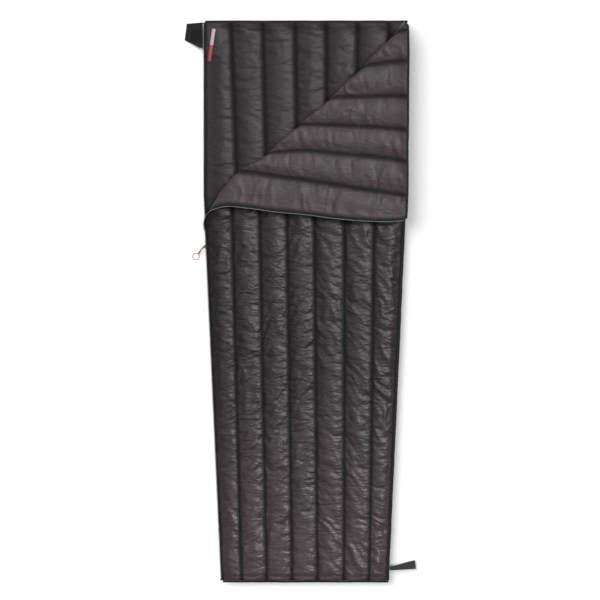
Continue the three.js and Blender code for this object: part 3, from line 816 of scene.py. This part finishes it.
@dataclass
class QuiltedLayer:
    """One layer: shell and lining sewn together along the channel seams, with down between them."""

    layer: Layer
    name: str
    replaces: tuple[str, ...]
    cells: tuple[float, ...] = (0, 0.03, 0.09, 0.18, 0.3, 0.43, 0.57, 0.7, 0.82, 0.91, 0.97)
    row: float = 7.5  # millimetres along the quilt
    start_bulge: float = 0.75
    start_uneven: float = 0.8
    foot_rise: float = 38.0  # from the bound end to the full loft
    head_rise: float = 52.0
    fill: DownFill = field(default_factory=DownFill)
    headroom: float = 1.6  # left above a cushion for its wrinkles
    knee: float = 1.2  # over which a point that is too high or too low is eased back
    plumpness: float = 0.8
    roundness: float = 0.8
    gather_height: float = 1.5
    gather_reach: float = 26.0  # from a seam
    crinkle_height: float = 3.6
    streak_period: float = 27.0
    broad_period: float = 60.0
    slope_left: float = 0.7  # of the shell's streaks, in the first four channels
    slope_right: float = -1.1
    slope_lining: float = 0.12
    lining_share: float = 0.8  # of the crinkles, on the softer lining

    def fullness(self, y: np.ndarray) -> np.ndarray:
        """The share of the full loft at y: nothing at the bound ends."""
        low, high = PLAN.cloth_ends
        inside = np.minimum((y - low) / self.foot_rise, (high - y) / self.head_rise)
        return np.sin(smooth(inside) * math.pi / 2) ** 0.8

    def depths(self, channel: np.ndarray, y: np.ndarray, bulge_share: float) -> tuple[np.ndarray, np.ndarray]:
        """How far the lining and the shell are from the plane between the layers.

        Args:
            channel: each point's channel.
            y: where it is along the quilt.
            bulge_share: 0 for the cloth with no bulge between its seams, 1 for a full one.

        Returns:
            The lining's distances and the shell's.
        """
        index = np.clip(np.floor(channel + 1e-9), 0, CHANNELS - 1)
        across = np.clip(channel - index, 0, 1)
        is_first, is_last = index == 0, index == CHANNELS - 1
        left = np.where(is_first, 0, PLAN.seam_depth)
        right = np.where(is_last, 0, PLAN.seam_depth)
        inner_crown = PLAN.loft - PLAN.seam_depth - PLAN.seam_thickness
        crown = np.where(is_first | is_last, PLAN.edge_crown, inner_crown)
        bulge = np.abs(np.sin(math.pi * across)) ** 0.5 * bulge_share
        base = mix(left, right, across)
        inner = np.maximum(0, base - PLAN.seam_depth * bulge)
        outer = np.minimum(PLAN.loft, base + PLAN.seam_thickness + crown * bulge)
        full = self.fullness(y)
        return full * inner, PLAN.seam_thickness + full * (outer - PLAN.seam_thickness)

    def heights(self, channel: np.ndarray, y: np.ndarray,
                bulge_share: float) -> tuple[np.ndarray, np.ndarray]:
        """The z of the lower and of the upper cloth."""
        inner, outer = self.depths(channel, y, bulge_share)
        if self.layer is Layer.UNDER:
            return PLAN.under_face - outer, PLAN.under_face - inner
        return PLAN.top_face + inner, PLAN.top_face + outer

    def closed_shell(self) -> tuple[bpy.types.Object, np.ndarray]:
        """Makes the closed shell before it is blown up.

        Returns:
            The shell and the numbers of the points that are sewn.
        """
        low, high = PLAN.cloth_ends
        across = np.array([channel + share for channel in range(CHANNELS) for share in self.cells]
                          + [float(CHANNELS)])
        columns = len(across)
        rows = int((high - low) / self.row) + 1
        y = np.repeat(np.linspace(low, high, rows), columns)
        channel = np.tile(across, rows)
        seams = PLAN.seams(self.layer, y)
        index = np.minimum((channel + 1e-9).astype(int), CHANNELS - 1)
        pick = np.arange(len(y))
        x = mix(seams[pick, index], seams[pick, index + 1], channel - index)
        lower, upper = self.heights(channel, y, self.start_bulge)
        whole = np.abs(channel - np.round(channel)) < 1e-6
        sewn = whole | (y < low + 1e-3) | (y > high - 1e-3)
        seed = 11 if self.layer is Layer.UNDER else 23
        uneven = np.random.default_rng(seed).normal(0, self.start_uneven, (2, len(y)))
        uneven[:, sewn] = 0
        count = len(y)
        points = np.concatenate([np.stack([x, y, lower + uneven[0]], 1),
                                 np.stack([x, y, upper + uneven[1]], 1)])
        grid = np.arange(count).reshape(rows, columns)
        corners = np.stack([grid[:-1, :-1], grid[:-1, 1:], grid[1:, 1:], grid[1:, :-1]], -1).reshape(-1, 4)
        rim = np.concatenate([grid[0], grid[1:, -1], grid[-1, -2::-1], grid[-2:0:-1, 0]])
        after = np.roll(rim, -1)
        walls = np.stack([rim, after, after + count, rim + count], 1)
        faces = np.concatenate([corners[:, ::-1], corners + count, walls])
        piece = new_piece(self.name, points, faces)
        is_lining = np.zeros(len(faces), np.int32)
        first_lining = len(corners) if self.layer is Layer.UNDER else 0
        is_lining[first_lining:first_lining + len(corners)] = 1
        piece.data.polygons.foreach_set("material_index", is_lining)
        quilting = piece.data.uv_layers.new(name="quilting")
        loops = np.zeros(len(piece.data.loops), np.int32)
        piece.data.loops.foreach_get("vertex_index", loops)
        both = np.tile(np.stack([channel / CHANNELS, (y - low) * MM], 1), (2, 1))
        quilting.data.foreach_set("uv", both[loops].astype(np.float32).ravel())
        return piece, np.nonzero(np.tile(sewn, 2))[0]

    def crumple(self, piece: bpy.types.Object) -> None:
        """Adds the gathers along the seams and the crinkles of thin cloth."""
        points = points_of(piece)
        x, y = points[:, 0], points[:, 1]
        channel = PLAN.channel_at(self.layer, x, y)
        normals = read(piece, "normal")
        seams = PLAN.seams(self.layer, y)
        nearest = np.abs(seams - x[:, None]).min(1)
        is_shell = (normals[:, 2] > 0) == (self.layer is Layer.TOP)
        seed = 5 if self.layer is Layer.UNDER else 6
        low, high = PLAN.cloth_ends
        toward_foot = (high - y) / (high - low)
        shell_slope = np.where(channel < 4, self.slope_left, self.slope_right)
        slope = np.where(is_shell, shell_slope, self.slope_lining)
        wander = 1.1 * Ripple(seed + 1).at(x / 55, y / 55)
        gathers = Ripple(seed).ridges(channel * 1.3 + 40 * is_shell, y / 12 + wander) - 0.55
        gathers *= np.exp(-nearest / self.gather_reach) * smooth(nearest / 5) * np.where(is_shell, 1.0, 0.45)
        streaks = Ripple(seed + 10).ridges(x / 48 + 60 * is_shell,
                                           (y - slope * x) / self.streak_period + wander) - 0.6
        broad = Ripple(seed + 20).ridges(x / 70, (y - 1.4 * slope * x) / self.broad_period
                                         + wander + 31 * is_shell) - 0.6
        calm = smooth(nearest / 12) * smooth((y - low) / 20) * smooth((high - y) / 20)
        patches = 0.55 + 0.6 * smooth(0.5 + Ripple(seed + 30).at(x / 90, y / 120))
        strength = np.where(is_shell, 0.75 + 0.5 * toward_foot, self.lining_share) * self.crinkle_height
        push = gathers * self.gather_height + (streaks + 0.8 * broad) * calm * patches * strength
        move_points(piece, points + normals * push[:, None])

    @property
    def space(self) -> tuple[float, float]:
        """The lowest and the highest z that the layer may reach."""
        if self.layer is Layer.UNDER:
            return 0.2, PLAN.under_face + 0.7
        return PLAN.top_face - 0.4, FOLD.height - 0.3

    def round_off(self, piece: bpy.types.Object) -> None:
        """Presses each channel's bulge into its own space as a round cushion, not a flat one."""
        points = points_of(piece)
        x, y, z = points.T
        floor, ceiling = self.space
        channel = PLAN.channel_at(self.layer, x, y)
        lower, upper = self.heights(channel, y, 0.0)
        above = z > (lower + upper) / 2
        bulge = np.where(above, z - upper, lower - z)
        room = np.maximum(np.where(above, ceiling - upper, lower - floor) - self.headroom, 0.3)
        share = channel - np.clip(np.floor(channel), 0, CHANNELS - 1)
        room = room * np.maximum(np.sin(math.pi * np.clip(share, 0, 1)), 0.02) ** self.roundness
        pressed = np.where(bulge > 0, room * np.tanh(self.plumpness * bulge / room), bulge)
        points[:, 2] = np.where(above, upper + pressed, lower - pressed)
        move_points(piece, points)

    def settle(self, piece: bpy.types.Object) -> None:
        """Keeps the layer in its own space: on the floor, and clear of the other layer."""
        points = points_of(piece)
        floor, ceiling = self.space
        knee, z = self.knee, points[:, 2]
        over, below = z - (ceiling - knee), (floor + knee) - z
        z = np.where(over > 0, ceiling - knee + knee * np.tanh(over / knee), z)
        z = np.where(below > 0, floor + knee - knee * np.tanh(below / knee), z)
        points[:, 2] = z
        move_points(piece, points)

    def build(self) -> None:
        """Makes the whole layer."""
        piece, sewn = self.closed_shell()
        self.fill.blow_up(piece, sewn)
        finish_with(piece, "SUBSURF", levels=1, render_levels=1)
        self.round_off(piece)
        self.crumple(piece)
        self.settle(piece)
        lies = FOLD if self.layer is Layer.TOP else SAG
        move_points(piece, lies.lay(points_of(piece)))
        # The top layer's lining is the paler, lit copy of the lining cloth: painted light.
        lining = LINING if self.layer is Layer.UNDER else LIT_FLAP_LINING
        dress(piece, [SHELL.material(), lining.material()])
        hang(piece, self.replaces, "quilt" if self.layer is Layer.UNDER else None)


# ---------------------------------------------------------------- cloth strips along the edges


Path = Callable[[np.ndarray], np.ndarray]


@dataclass
class EdgeStrip:
    """A woven strip that follows an edge of the closed quilt.

    Attributes:
        path: gives points x, y, z in millimetres along the strip's middle, for shares from 0 to 1.
        across: the direction of its width.
        width: across the strip.
        thickness: of the cloth, or of the folded binding.
        step: millimetres between its rows.
        length: along the path.
        wave: how far its edge wanders.
        laid: carries its points to where they lie.
        seed: of its wander.
    """

    name: str
    path: Path
    across: tuple[float, float, float]
    width: float
    thickness: float
    length: float
    step: float = 8.0
    wave: float = 0.0
    laid: Optional[Callable[[np.ndarray], np.ndarray]] = None
    seed: int = 1

    def build(self) -> bpy.types.Object:
        """Lays a grid along the path, thickens it and rounds its edges.

        Returns:
            The strip, not yet dressed.
        """
        rows = max(2, int(self.length / self.step))
        bpy.ops.object.select_all(action="DESELECT")
        bpy.ops.mesh.primitive_grid_add(x_subdivisions=4, y_subdivisions=rows, size=2)
        piece = bpy.context.active_object
        piece.name = self.name
        piece.data.name = self.name
        flat = read(piece, "co")
        side, share = flat[:, 0], (flat[:, 1] + 1) / 2
        middle = self.path(share)
        ripple = Ripple(self.seed)
        wander = self.wave * ripple.at(share * self.length / 45, np.zeros(len(share)))
        lift = self.wave * 0.6 * ripple.at(share * self.length / 30 + 80, side * 0.7)
        across = np.array(self.across)
        points = middle + across * (side * self.width / 2 + wander)[:, None]
        points[:, 2] += lift
        move_points(piece, points)
        finish_with(piece, "SOLIDIFY", thickness=self.thickness * MM, offset=0)
        finish_with(piece, "BEVEL", width=min(0.3 * self.thickness, 1.2) * MM, segments=2,
                    limit_method="ANGLE", angle_limit=math.radians(50))
        if self.laid:
            move_points(piece, self.laid(points_of(piece)))
        return piece


def straight(start: Sequence[float], end: Sequence[float]) -> Path:
    """A straight path between two points."""
    first, last = np.array(start, float), np.array(end, float)
    return lambda share: first + (last - first) * share[:, None]


def along_side(side: int, from_cloth: float, low_y: float, high_y: float, z: float) -> Path:
    """A path beside one edge of the cloth.

    Args:
        side: -1 for the left edge, 1 for the right.
        from_cloth: how far outside the cloth it runs.
        low_y: where it starts.
        high_y: where it ends.
        z: its height.

    Returns:
        The path, for shares from 0 to 1.
    """
    def path(share: np.ndarray) -> np.ndarray:
        """Points for shares of the way along."""
        y = low_y + (high_y - low_y) * share
        return np.stack([side * (PLAN.half(y) + from_cloth), y, np.full(len(y), z)], axis=1)
    return path


@dataclass
class Bindings:
    """The bound edges at the head, the right side and the foot."""

    width: float = 7.0
    gap: float = 0.3
    start_x: float = -363.5  # the left end of the head edge
    head_lap: float = 2.4  # that the head's bindings reach over the cloth
    head_shift: float = 1.2

    def build(self) -> None:
        """Makes all four bindings."""
        low, high = PLAN.cloth_ends
        right, foot_half = PLAN.head_half, PLAN.foot_half
        head_y = PLAN.head_y - self.width / 2 - self.head_shift
        foot_y = PLAN.foot_y + self.width / 2
        under_head = straight((self.start_x, head_y, 29.4), (right + 5, head_y, 29.4))
        corner_head = straight((self.start_x, head_y, 32.3), (right - 34, head_y, 32.3))
        side = along_side(1, self.gap + self.width / 2, low, high + 3, PLAN.zip_z)
        foot = straight((8 - foot_half, foot_y, PLAN.zip_z), (foot_half, foot_y, PLAN.zip_z))
        lengthwise, crosswise = (0, 1, 0), (1, 0, 0)
        head_width = self.width + self.head_lap
        strips = (
            (EdgeStrip("binding_head", under_head, lengthwise, head_width, 2.8, 736, wave=0.4, seed=3),
             "head_binding_under", "quilt"),
            (EdgeStrip("binding_side", side, crosswise, self.width + 3, 4.6, 2030, wave=0.5, seed=4),
             "side_binding", "quilt"),
            (EdgeStrip("binding_foot", foot, lengthwise, self.width, 4.8, 605, wave=0.4, seed=5),
             "foot_binding", "quilt"),
            (EdgeStrip("binding_head_corner", corner_head, lengthwise, head_width, 2.4, 700, wave=0.4,
                       laid=FOLD.lay, seed=6), "flap_head_binding", "flap"),
        )
        binding = BINDING.material()
        for strip, replaced, body in strips:
            piece = strip.build()
            dress(piece, [binding])
            hang(piece, [replaced], body)


@dataclass
class Zip:
    """The zip along the left side: its tapes, its coils and the stop that turns over with the corner."""

    tape_width: float = 4.0
    tape_thickness: float = 1.0
    tape_rise: float = 1.65  # of each tape's middle, from the middle of the zip
    coil_middle: float = 5.95
    tooth: tuple[float, float, float] = (2.7, 1.1, 1.7)
    pitch: float = 1.9
    slider_y: float = 200.0
    foot_y: float = -1011.4
    head_y: float = 1011.4
    stop: tuple[float, float, float] = (2.7, 6.0, 2.0)
    stop_gap: float = 0.3

    def tapes(self) -> None:
        """The two tapes, the upper of which turns over with the corner."""
        low, high = PLAN.cloth_ends
        cloth = TAPE.material()
        middle = 0.1 + self.tape_width / 2
        tapes = (("zip_tape_lower", -self.tape_rise, SAG.lay, 7, ["zip_tape_under"], "quilt"),
                 ("zip_tape_upper", self.tape_rise, FOLD.lay, 8, ["zip_tape_top", "zip_tape_flap"], None))
        for name, rise, laid, seed, replaced, body in tapes:
            path = along_side(-1, middle, low, high, PLAN.zip_z + rise)
            piece = EdgeStrip(name, path, (1, 0, 0), self.tape_width + 0.6, self.tape_thickness, 2030,
                              wave=0.1, laid=laid, seed=seed).build()
            dress(piece, [cloth])
            hang(piece, replaced, body)

    def teeth(self, name: str, low_y: float, high_y: float, z: float,
              laid: Callable[[np.ndarray], np.ndarray], offset: float = 0.0) -> bpy.types.Object:
        """A run of teeth, all copies of one bevelled tooth.

        Args:
            name: of the piece.
            low_y: where the run starts.
            high_y: where it ends.
            z: the height of the teeth's middles.
            laid: carries their points to where they lie.
            offset: the share of a tooth's pitch that the run is shifted by.

        Returns:
            The run, not yet dressed.
        """
        bpy.ops.object.select_all(action="DESELECT")
        bpy.ops.mesh.primitive_cube_add(size=1)
        tooth = bpy.context.active_object
        tooth.scale = [size * MM for size in self.tooth]
        bpy.ops.object.transform_apply(location=False, rotation=False, scale=True)
        finish_with(tooth, "BEVEL", width=0.4 * MM, segments=1)
        one = points_of(tooth)
        faces = [list(face.vertices) for face in tooth.data.polygons]
        bpy.data.objects.remove(tooth)
        count = int((high_y - low_y) / self.pitch)
        y = low_y + (np.arange(count) + 0.5 + offset) * (high_y - low_y) / count
        centres = along_side(-1, self.coil_middle, 0, 1, z)(y)
        points = laid((centres[:, None, :] + one[None, :, :]).reshape(-1, 3))
        all_faces = [[i * len(one) + v for v in face] for i in range(count) for face in faces]
        return new_piece(name, points, all_faces)

    def coils(self) -> None:
        """The closed chain below the slider and the two open coils above it."""
        pale, dark = COIL.material(), DARK_COIL.material()
        chain_end, coil_start = self.slider_y - 4, self.slider_y + 7
        runs = (("zip_chain", self.foot_y, chain_end, 0.6, SAG.lay, 0.0, dark, ["zip_chain_closed"], "quilt"),
                ("zip_coil_lower", coil_start, self.head_y, -1.1, SAG.lay, 0.0, pale, ["zip_coil_under"],
                 "quilt"),
                ("zip_coil_upper", coil_start, self.head_y, 1.1, FOLD.lay, 0.5, pale,
                 ["zip_coil_top", "zip_coil_flap"], None))
        for name, low_y, high_y, rise, laid, offset, nylon, replaced, body in runs:
            piece = self.teeth(name, low_y, high_y, PLAN.zip_z + rise, laid, offset)
            dress(piece, [nylon])
            hang(piece, replaced, body)

    def end_stop(self) -> None:
        """The upper coil's end stop, which turns over with the corner."""
        bpy.ops.object.select_all(action="DESELECT")
        bpy.ops.mesh.primitive_cube_add(size=MM)
        piece = bpy.context.active_object
        piece.name = piece.data.name = "zip_stop_upper"
        y = self.head_y + self.stop_gap + self.stop[1] / 2
        centre = along_side(-1, self.coil_middle, y, y, PLAN.zip_z + self.stop[2] / 2)(np.zeros(1))
        move_points(piece, points_of(piece) * self.stop + centre)
        finish_with(piece, "BEVEL", width=0.4 * MM, segments=2)
        move_points(piece, FOLD.lay(points_of(piece)))
        dress(piece, [METAL.material()])
        hang(piece, ["zip_stop_flap"], "flap")

    def build(self) -> None:
        """Makes the tapes, the coils and the upper coil's stop."""
        self.tapes()
        self.coils()
        self.end_stop()


# ---------------------------------------------------------------- pull cord


def spline(points: np.ndarray, spacing: float) -> np.ndarray:
    """A centripetal Catmull-Rom curve.

    Args:
        points: rows of x, y, z that it goes through.
        spacing: about how far its samples are apart.

    Returns:
        Rows of x, y, z along it.
    """
    ends = np.concatenate([[2 * points[0] - points[1]], points, [2 * points[-1] - points[-2]]])
    found = []
    for a, b, c, d in zip(ends[:-3], ends[1:-2], ends[2:-1], ends[3:]):
        knots = np.cumsum([0.0] + [np.linalg.norm(q - p) ** 0.5 for p, q in ((a, b), (b, c), (c, d))])
        steps = max(2, int(np.linalg.norm(c - b) / spacing))
        for t in np.linspace(knots[1], knots[2], steps, endpoint=False):

            def between(p: np.ndarray, q: np.ndarray, i: int, j: int) -> np.ndarray:
                """The point at t between p, at knot i, and q, at knot j."""
                return ((knots[j] - t) * p + (t - knots[i]) * q) / (knots[j] - knots[i])

            first, second, third = between(a, b, 0, 1), between(b, c, 1, 2), between(c, d, 2, 3)
            found.append(between(between(first, second, 0, 2), between(second, third, 1, 3), 1, 2))
    return np.array(found + [points[-1]])


@dataclass
class PullCord:
    """The orange cord on the zip's puller. Its route is in the puller's own frame."""

    pin: tuple[float, float] = (-367.857, 199.408)  # where that frame stands in the quilt's
    turn: float = 229.0  # degrees that it is turned by
    spacing: float = 1.2
    diameter: float = 2.4
    route: tuple[tuple[float, float, float], ...] = (
        (12.1, -1.5, 30.6), (14.5, -1.5, 30.4), (18, -1.5, 27.4), (20.8, -1.5, 21.2), (22.4, -1.5, 14.2),
        (24.2, -1.5, 7.6), (26.4, -1.5, 3.5), (28.9, -1.5, 2.74), (31.3, -1.5, 2.72), (33.3, -1.7, 2.66),
        (35.4, -4.6, 1.9), (38.2, -9, 1.5), (43, -11.7, 1.5), (49, -11.6, 1.5), (54.6, -8.4, 1.5),
        (57.7, -3, 1.5), (57.7, 3, 1.5), (54.6, 8.4, 1.5), (49, 11.6, 1.5), (43, 11.7, 1.5),
        (38.2, 9, 1.5), (35.4, 4.6, 1.9), (33.3, 1.7, 2.66), (31.3, 1.5, 2.72), (28.9, 1.5, 2.74),
        (26.4, 1.5, 3.5), (24.2, 1.5, 7.6), (22.4, 1.5, 14.2), (20.8, 1.5, 21.2), (18, 1.5, 27.4),
        (14.5, 1.5, 30.4), (12.1, 1.5, 30.6),
    )
    sides: int = 12

    def placed(self, points: np.ndarray) -> np.ndarray:
        """Points from the puller's own frame to the quilt's."""
        turn = math.radians(self.turn)
        x = self.pin[0] + points[:, 0] * math.cos(turn) - points[:, 1] * math.sin(turn)
        y = self.pin[1] + points[:, 0] * math.sin(turn) + points[:, 1] * math.cos(turn)
        return np.stack([x, y, points[:, 2]], axis=1)

    def tube(self, line: np.ndarray) -> bpy.types.Object:
        """A round tube, closed at both ends, with a map that runs along it.

        Args:
            line: rows of x, y, z along its middle.

        Returns:
            The tube.
        """
        ahead = np.gradient(line, axis=0)
        ahead /= np.linalg.norm(ahead, axis=1)[:, None]
        side = np.cross(ahead, [0, 0, 1])
        side /= np.linalg.norm(side, axis=1)[:, None]
        up = np.cross(side, ahead)
        angles = np.arange(self.sides) * 2 * math.pi / self.sides
        rings = line[:, None, :] + (self.diameter / 2) * (
            side[:, None, :] * np.cos(angles)[None, :, None] + up[:, None, :] * np.sin(angles)[None, :, None])
        count, sides = len(line), self.sides
        faces = []
        for here in range(0, (count - 1) * sides, sides):
            for j in range(sides):
                after = (j + 1) % sides
                faces.append([here + j, here + after, here + sides + after, here + sides + j])
        faces += [list(range(sides))[::-1], [(count - 1) * sides + j for j in range(sides)]]
        piece = new_piece("pull_cord", rings.reshape(-1, 3), faces)
        run = np.concatenate([[0], np.cumsum(np.linalg.norm(np.diff(line, axis=0), axis=1))]) * MM
        braid = piece.data.uv_layers.new(name="braid")
        for face in piece.data.polygons:
            wraps = len(face.vertices) == 4 and face.index % sides == sides - 1
            for loop in face.loop_indices:
                vertex = piece.data.loops[loop].vertex_index
                around = (vertex % sides) / sides
                braid.data[loop].uv = (1.0 if wraps and around == 0 else around, run[vertex // sides])
        return piece

    def build(self) -> None:
        """Makes the cord."""
        line = self.placed(spline(np.array(self.route, float), self.spacing))
        piece = self.tube(line)
        dress(piece, [CORD.material()])
        hang(piece, ["puller_cord"], "puller")


# ---------------------------------------------------------------- label and carried-over pieces


@dataclass
class SideLabel:
    """The two-tone label sewn on the under layer's lining."""

    centre: tuple[float, float] = (-339.7, 935.0)
    size: tuple[float, float] = (13.0, 120.0)
    tilt: float = -8.5  # degrees
    thickness: float = 0.4

    def build(self) -> None:
        """A thin satin strip that follows the cloth."""
        bpy.ops.object.select_all(action="DESELECT")
        bpy.ops.mesh.primitive_grid_add(x_subdivisions=4, y_subdivisions=30, size=1)
        piece = bpy.context.active_object
        piece.name = piece.data.name = "label_side"
        across, along, _ = read(piece, "co").T
        turn = math.radians(self.tilt)
        a, b = across * self.size[0], along * self.size[1]
        x = self.centre[0] + a * math.cos(turn) - b * math.sin(turn)
        y = self.centre[1] + a * math.sin(turn) + b * math.cos(turn)
        z = PLAN.under_face + 0.9 + 0.5 * Ripple(9).at(b / 22, a / 9) + 0.6 * np.cos(across * math.pi)
        move_points(piece, SAG.lay(np.stack([x, y, z], 1)))
        piece.data.uv_layers[0].name = "label"
        finish_with(piece, "SOLIDIFY", thickness=self.thickness * MM, offset=0)
        dress(piece, [LABEL.material()])
        hang(piece, ["side_label"], "quilt")


def dress_cad_nodes() -> None:
    """Gives the CAD nodes that stay in view their finishes."""
    finishes = {
        "zip_slider": METAL, "zip_puller": PULLER, "zip_stop_foot": METAL, "zip_stop_under": METAL,
        "cord_sleeve": CORD, "closure_tab": TAB_CLOTH, "closure_hook_patch": HOOK,
        "closure_loop_patch": HOOK, "foot_hang_loop": WEBBING,
    }
    materials = {finish: finish.material() for finish in dict.fromkeys(finishes.values())}
    for node, finish in finishes.items():
        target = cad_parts[node].data
        target.materials.clear()
        target.materials.append(materials[finish])


# ---------------------------------------------------------------- studio


@dataclass
class Studio:
    """A plain pale floor, soft lights and the camera straight above."""

    camera_place: tuple[float, float, float] = (-0.0165, 0.0052, 6.11)
    lens: float = 100.0
    floor_size: float = 64.0
    world_light: float = 0.11

    def sun(self, name: str, toward: Sequence[float], strength: float, angle: float) -> bpy.types.Object:
        """One soft, even light that comes from a direction.

        Args:
            name: of the light.
            toward: from the object to the light.
            strength: in watts to the square metre.
            angle: how wide the light is, in degrees.

        Returns:
            The lamp.
        """
        light = bpy.data.lights.new(name, "SUN")
        light.energy, light.angle = strength, math.radians(angle)
        lamp = bpy.data.objects.new(name, light)
        lamp.rotation_euler = Vector(toward).to_track_quat("Z", "Y").to_euler()
        bpy.context.scene.collection.objects.link(lamp)
        return lamp

    @staticmethod
    def link(lamp: bpy.types.Object, piece: bpy.types.Object, state: str) -> None:
        """Lets a lamp light only one piece, or every piece but that one.

        Args:
            lamp: the lamp.
            piece: the piece.
            state: "INCLUDE" for only that piece, "EXCLUDE" for all the others.
        """
        lit = bpy.data.collections.new(f"{lamp.name}_lights")
        lit.objects.link(piece)
        lamp.light_linking.receiver_collection = lit
        lit.collection_objects[0].light_linking.link_state = state

    def build(self) -> None:
        """Makes the floor, the lights, the world and the camera."""
        bpy.ops.object.select_all(action="DESELECT")
        bpy.ops.mesh.primitive_plane_add(size=self.floor_size, location=(0, 0, -0.0006))
        floor = bpy.context.active_object
        floor.name = "studio_floor"
        shader = Shader("floor_paper")
        shader.dress(base_color=(0.93, 0.93, 0.93, 1), roughness=0.9,
                     normal=shader.bump(shader.noise(shader.place(), 3), 0.0005, 0.2))
        floor.data.materials.append(shader.material)
        suns = (("key", (0.46, 0.3, 0.9), 2.0, 26, "EXCLUDE"), ("overhead", (0.1, 0.1, 1.0), 0.75, 60, None),
                ("rim", (-0.6, 0.9, 0.9), 0.5, 40, "EXCLUDE"),
                ("window", (-0.62, 0.42, 0.95), 2.2, 46, "INCLUDE"), ("sky", (0, 0, 1), 0.95, 12, "INCLUDE"))
        for name, toward, strength, angle, floor_state in suns:
            lamp = self.sun(name, toward, strength, angle)
            if floor_state:
                self.link(lamp, floor, floor_state)
        world = bpy.data.worlds.new("studio") if not bpy.data.worlds else bpy.data.worlds[0]
        bpy.context.scene.world = world
        world.use_nodes = True
        background = world.node_tree.nodes["Background"]
        background.inputs["Color"].default_value = (1, 1, 1, 1)
        background.inputs["Strength"].default_value = self.world_light
        camera = bpy.data.cameras.new("camera")
        camera.lens, camera.sensor_width = self.lens, 36
        camera.clip_end = 50
        seat = bpy.data.objects.new("camera", camera)
        seat.location = self.camera_place
        bpy.context.scene.collection.objects.link(seat)
        bpy.context.scene.camera = seat
        bpy.context.scene.view_settings.view_transform = "Standard"


def main() -> None:
    """Builds the studio and every piece."""
    logging.basicConfig(level=logging.INFO, format="%(name)s: %(message)s")
    Studio().build()
    PullCord().build()
    under_nodes = ("under_shell", "under_lining", *(f"under_down_{i}" for i in range(1, 8)))
    top_nodes = ("top_shell", "top_lining", *(f"top_down_{i}" for i in range(1, 8)),
                 "flap_shell", "flap_lining", *(f"flap_down_{i}" for i in range(1, 7)))
    QuiltedLayer(Layer.UNDER, "quilt_lower", under_nodes).build()
    QuiltedLayer(Layer.TOP, "quilt_upper", top_nodes).build()
    Bindings().build()
    Zip().build()
    SideLabel().build()
    dress_cad_nodes()


if __name__ == "__main__":
    main()
